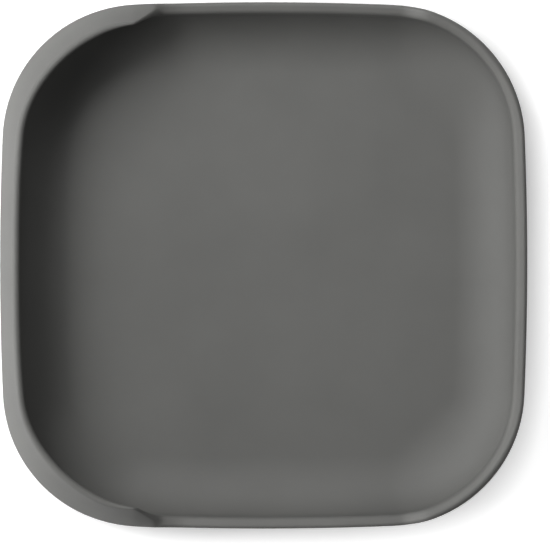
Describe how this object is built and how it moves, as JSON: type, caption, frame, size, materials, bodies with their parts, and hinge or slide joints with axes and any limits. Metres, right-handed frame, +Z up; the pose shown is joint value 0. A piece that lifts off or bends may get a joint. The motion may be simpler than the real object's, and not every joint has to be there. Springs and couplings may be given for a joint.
{
  "type": "baby suction plate",
  "caption": "Soft rounded-square feeding plate with a tall scoop wall leaning in along a side, on a pull-off suction foot with a release tab.",
  "frame": {"origin": "on the table, under the middle of the dish", "axes": "+Z up, +X away from the scoop wall towards the release tab, +Y along the scoop wall"},
  "size_m": [0.185, 0.185, 0.042],
  "materials": {
    "dish_silicone": "matte dark grey silicone",
    "hub_plastic": "fine-grained dark grey moulded plastic",
    "cup_silicone": "smooth dark grey silicone"
  },
  "bodies": {
    "suction_cup": {"sealing_lip": "cup_silicone", "suction_skirt": "cup_silicone"},
    "foot_hub": {"foot_hub": "hub_plastic"},
    "dish": {"dish": "dish_silicone"},
    "release_tab": {"release_tab": "cup_silicone"}
  },
  "joints": [
    {"name": "press_to_stick", "type": "slide", "parent": "suction_cup", "child": "foot_hub", "axis": [0, 0, 1], "range_m": [-0.003, 0], "stiffness_N_per_m": 2000, "springref_m": 0.0025, "deforming": ["suction_skirt"]},
    {"name": "dish_lift_off", "type": "slide", "parent": "foot_hub", "child": "dish", "axis": [0, 0, 1], "range_m": [0, 0.04]},
    {"name": "release_tab_lift", "type": "hinge", "parent": "suction_cup", "child": "release_tab", "pos_m": [0.0693, 0, 0.0012], "axis": [0, -1, 0], "range_deg": [0, 30], "stiffness_Nm_per_rad": 0.01}
  ]
}
